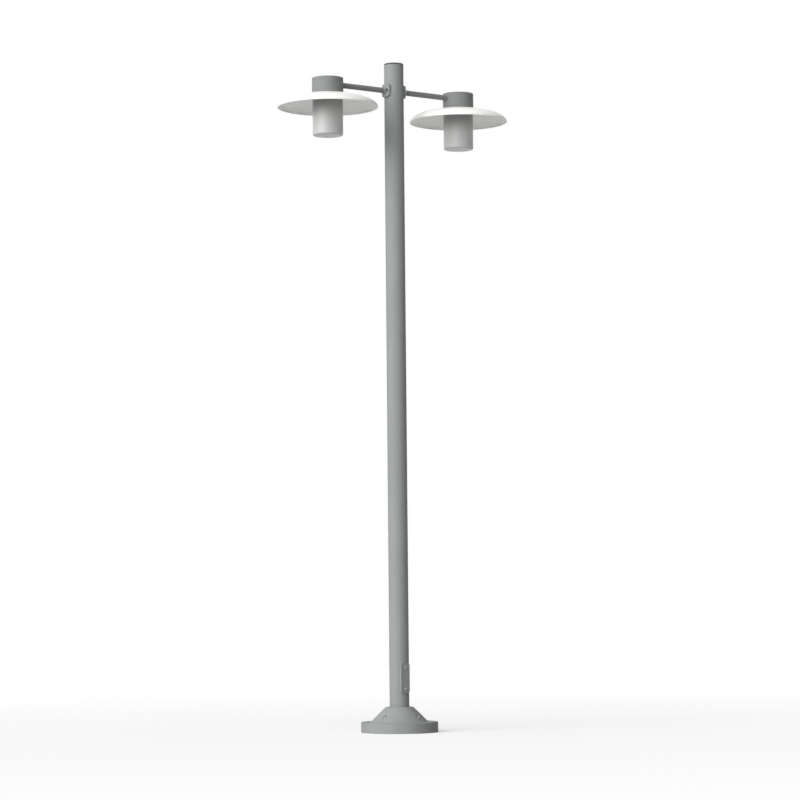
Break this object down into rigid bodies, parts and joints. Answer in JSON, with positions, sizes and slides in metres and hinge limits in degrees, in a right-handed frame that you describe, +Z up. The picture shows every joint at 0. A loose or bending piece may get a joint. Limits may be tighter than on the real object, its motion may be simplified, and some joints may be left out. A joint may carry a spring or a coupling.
{
  "type": "twin-head lamp post",
  "caption": "Outdoor lamp post: round pole with a covered foot and service door, and two side arms that each carry a shaded lamp head with an opal glass.",
  "frame": {"origin": "middle of the foot on the ground", "axes": "+Z up along the pole; the arms lie along X; the service door faces -Y"},
  "size_m": [1.0204, 0.3884, 2.606],
  "materials": {
    "grey_powder_coat": "satin fine-textured powder coat",
    "white_powder_coat": "smooth satin white",
    "galvanised_steel": "hot-dip zinc",
    "stainless_steel": "turned stainless",
    "cast_aluminium": "as cast",
    "black_plastic": "moulded",
    "black_rubber": "sheet rubber",
    "silicone": "moulded silicone",
    "ivory_plastic": "moulded",
    "ceramic": "glazed",
    "brass": "plain",
    "opal_glass": "satin opal",
    "bulb_diffuser": "satin",
    "bulb_cap_metal": "pressed",
    "cable_sheath": "extruded"
  },
  "bodies": {
    "root": {"base_plate": "galvanised_steel", "foot_weld": "galvanised_steel", "cover_pillars": "galvanised_steel", "pole_tube": "grey_powder_coat", "door_rivnuts": "galvanised_steel", "box_rail": "galvanised_steel", "box_base": "ivory_plastic", "box_screw": "stainless_steel", "cable_glands": "black_plastic", "terminal_block": "ivory_plastic", "fuse_holders": "black_plastic", "fuses": "ceramic", "earth_stud": "brass", "left_arm_saddle": "grey_powder_coat", "left_saddle_gasket": "black_rubber", "left_saddle_screws": "stainless_steel", "left_arm_tube": "grey_powder_coat", "left_arm_grub_screws": "stainless_steel", "left_housing": "grey_powder_coat", "left_housing_gasket": "black_rubber", "left_shade": "white_powder_coat", "left_lamp_carrier": "cast_aluminium", "left_carrier_screws": "stainless_steel", "left_lamp_holder": "ivory_plastic", "left_holder_contacts": "brass", "left_glass_gasket": "silicone", "left_head_terminal": "ivory_plastic", "left_head_cable": "cable_sheath", "right_arm_saddle": "grey_powder_coat", "right_saddle_gasket": "black_rubber", "right_saddle_screws": "stainless_steel", "right_arm_tube": "grey_powder_coat", "right_arm_grub_screws": "stainless_steel", "right_housing": "grey_powder_coat", "right_housing_gasket": "black_rubber", "right_shade": "white_powder_coat", "right_lamp_carrier": "cast_aluminium", "right_carrier_screws": "stainless_steel", "right_lamp_holder": "ivory_plastic", "right_holder_contacts": "brass", "right_glass_gasket": "silicone", "right_head_terminal": "ivory_plastic", "right_head_cable": "cable_sheath"},
    "cap": {"pole_cap": "black_plastic"},
    "foot_cover": {"base_cover": "grey_powder_coat", "cover_screws": "stainless_steel", "cover_grub_screws": "stainless_steel"},
    "service_door": {"door": "grey_powder_coat", "door_gasket": "black_rubber", "door_screws": "stainless_steel"},
    "fuse_lid": {"box_lid": "ivory_plastic"},
    "left_diffuser": {"left_glass": "opal_glass"},
    "right_diffuser": {"right_glass": "opal_glass"},
    "left_bulb": {"left_bulb_globe": "bulb_diffuser", "left_bulb_cap": "bulb_cap_metal"},
    "right_bulb": {"right_bulb_globe": "bulb_diffuser", "right_bulb_cap": "bulb_cap_metal"}
  },
  "joints": [
    {"name": "door_lift_off", "type": "slide", "parent": "root", "child": "service_door", "axis": [0, -1, 0], "range_m": [0, 0.08]},
    {"name": "foot_cover_lift", "type": "slide", "parent": "root", "child": "foot_cover", "axis": [0, 0, 1], "range_m": [0, 0.05]},
    {"name": "cap_pull", "type": "slide", "parent": "root", "child": "cap", "axis": [0, 0, 1], "range_m": [0, 0.05]},
    {"name": "fuse_lid_pull", "type": "slide", "parent": "root", "child": "fuse_lid", "axis": [0, -1, 0], "range_m": [0, 0.015]},
    {"name": "left_glass_drop", "type": "slide", "parent": "root", "child": "left_diffuser", "axis": [0, 0, -1], "range_m": [0, 0.15]},
    {"name": "right_glass_drop", "type": "slide", "parent": "root", "child": "right_diffuser", "axis": [0, 0, -1], "range_m": [0, 0.15]},
    {"name": "left_bulb_unscrew", "type": "slide", "parent": "root", "child": "left_bulb", "axis": [0, 0, -1], "range_m": [0, 0.016]},
    {"name": "right_bulb_unscrew", "type": "slide", "parent": "root", "child": "right_bulb", "axis": [0, 0, -1], "range_m": [0, 0.016]}
  ]
}
